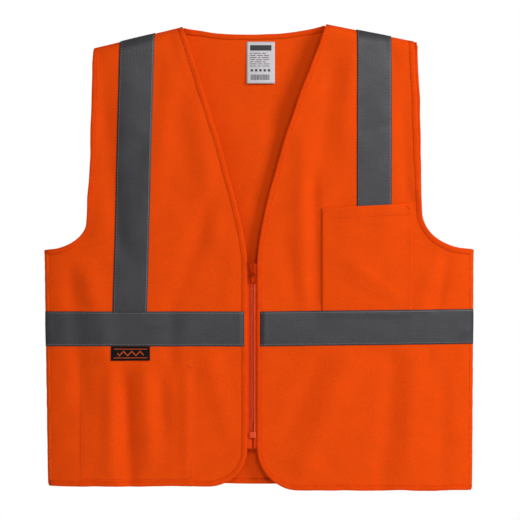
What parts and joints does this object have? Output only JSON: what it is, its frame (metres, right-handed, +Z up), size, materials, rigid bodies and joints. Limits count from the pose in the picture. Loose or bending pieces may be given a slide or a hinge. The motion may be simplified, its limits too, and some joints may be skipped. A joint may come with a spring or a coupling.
{
  "type": "high-visibility vest",
  "caption": "Sleeveless blaze orange knit work vest with a V neck, zip front, grey reflective tapes, a chest pocket and an inner pocket.",
  "frame": {"origin": "midway between the two shoulders at the height of the neck points, and midway from front to back; the vest hangs from there", "axes": "+Z up towards the neck, -Y the front, +X the wearer's left"},
  "size_m": [0.618, 0.0335, 0.672],
  "materials": {
    "knit_orange": "fine polyester knit, matt",
    "binding_orange": "folded polyester binding, matt",
    "reflective_tape": "glass-bead reflective tape, satin grey",
    "woven_label": "woven label, black",
    "care_label": "printed satin ribbon",
    "zip_tape": "woven zip tape",
    "coil_orange": "moulded polyester, satin",
    "slider_orange": "enamelled die-cast zinc"
  },
  "bodies": {
    "root": {"back_panel": "knit_orange", "right_front_panel": "knit_orange", "left_front_panel": "knit_orange", "back_neck_binding": "binding_orange", "right_neck_binding": "binding_orange", "left_neck_binding": "binding_orange", "right_armhole_binding_front": "binding_orange", "left_armhole_binding_front": "binding_orange", "right_armhole_binding_back": "binding_orange", "left_armhole_binding_back": "binding_orange", "right_hem_binding_side": "binding_orange", "left_hem_binding_side": "binding_orange", "back_hem_binding": "binding_orange", "right_shoulder_seam": "knit_orange", "left_shoulder_seam": "knit_orange", "right_side_seam": "knit_orange", "left_side_seam": "knit_orange", "right_shoulder_tape": "reflective_tape", "left_shoulder_tape": "reflective_tape", "right_waist_tape_side": "reflective_tape", "left_waist_tape_side": "reflective_tape", "back_waist_tape": "reflective_tape", "chest_pocket": "knit_orange", "inner_pocket": "knit_orange", "right_hem_binding_back": "binding_orange", "left_hem_binding_back": "binding_orange", "right_waist_tape_back": "reflective_tape", "left_waist_tape_back": "reflective_tape"},
    "right_front": {"right_front_edge_panel": "knit_orange", "right_front_edge_binding": "binding_orange", "right_hem_binding_edge": "binding_orange", "right_waist_tape_edge": "reflective_tape", "right_zip_tape": "zip_tape", "right_zip_coil": "coil_orange", "right_top_stop": "slider_orange", "retainer_box": "coil_orange"},
    "left_front": {"left_front_edge_panel": "knit_orange", "left_front_edge_binding": "binding_orange", "left_hem_binding_edge": "binding_orange", "left_waist_tape_edge": "reflective_tape", "left_zip_tape": "zip_tape", "left_zip_coil": "coil_orange", "left_top_stop": "slider_orange", "insertion_pin": "coil_orange"},
    "zip_slider": {"zip_slider": "slider_orange"},
    "pull_tab": {"pull_tab": "slider_orange"},
    "care_label": {"care_label": "care_label"},
    "woven_label": {"woven_label": "woven_label"}
  },
  "joints": [
    {"name": "right_front_fold", "type": "hinge", "parent": "root", "child": "right_front", "pos_m": [-0.092, -0.016, -0.35], "axis": [0, 0, -1], "range_deg": [0, 150]},
    {"name": "left_front_fold", "type": "hinge", "parent": "root", "child": "left_front", "pos_m": [0.084, -0.016, -0.35], "axis": [0, 0, 1], "range_deg": [0, 150]},
    {"name": "slider_run", "type": "slide", "parent": "right_front", "child": "zip_slider", "axis": [0, 0, -1], "range_m": [0, 0.213]},
    {"name": "tab_turn", "type": "hinge", "parent": "zip_slider", "child": "pull_tab", "pos_m": [-0.009, -0.0161, -0.3614], "axis": [0.9903, 0, 0.1392], "range_deg": [0, 172]},
    {"name": "care_label_flip", "type": "hinge", "parent": "root", "child": "care_label", "pos_m": [0.0025, 0.0104, -0.0224], "axis": [-1, 0, 0], "range_deg": [0, 100]},
    {"name": "woven_label_flip", "type": "hinge", "parent": "root", "child": "woven_label", "pos_m": [-0.185, -0.0146, -0.4642], "axis": [-1, 0, 0], "range_deg": [0, 165]}
  ]
}
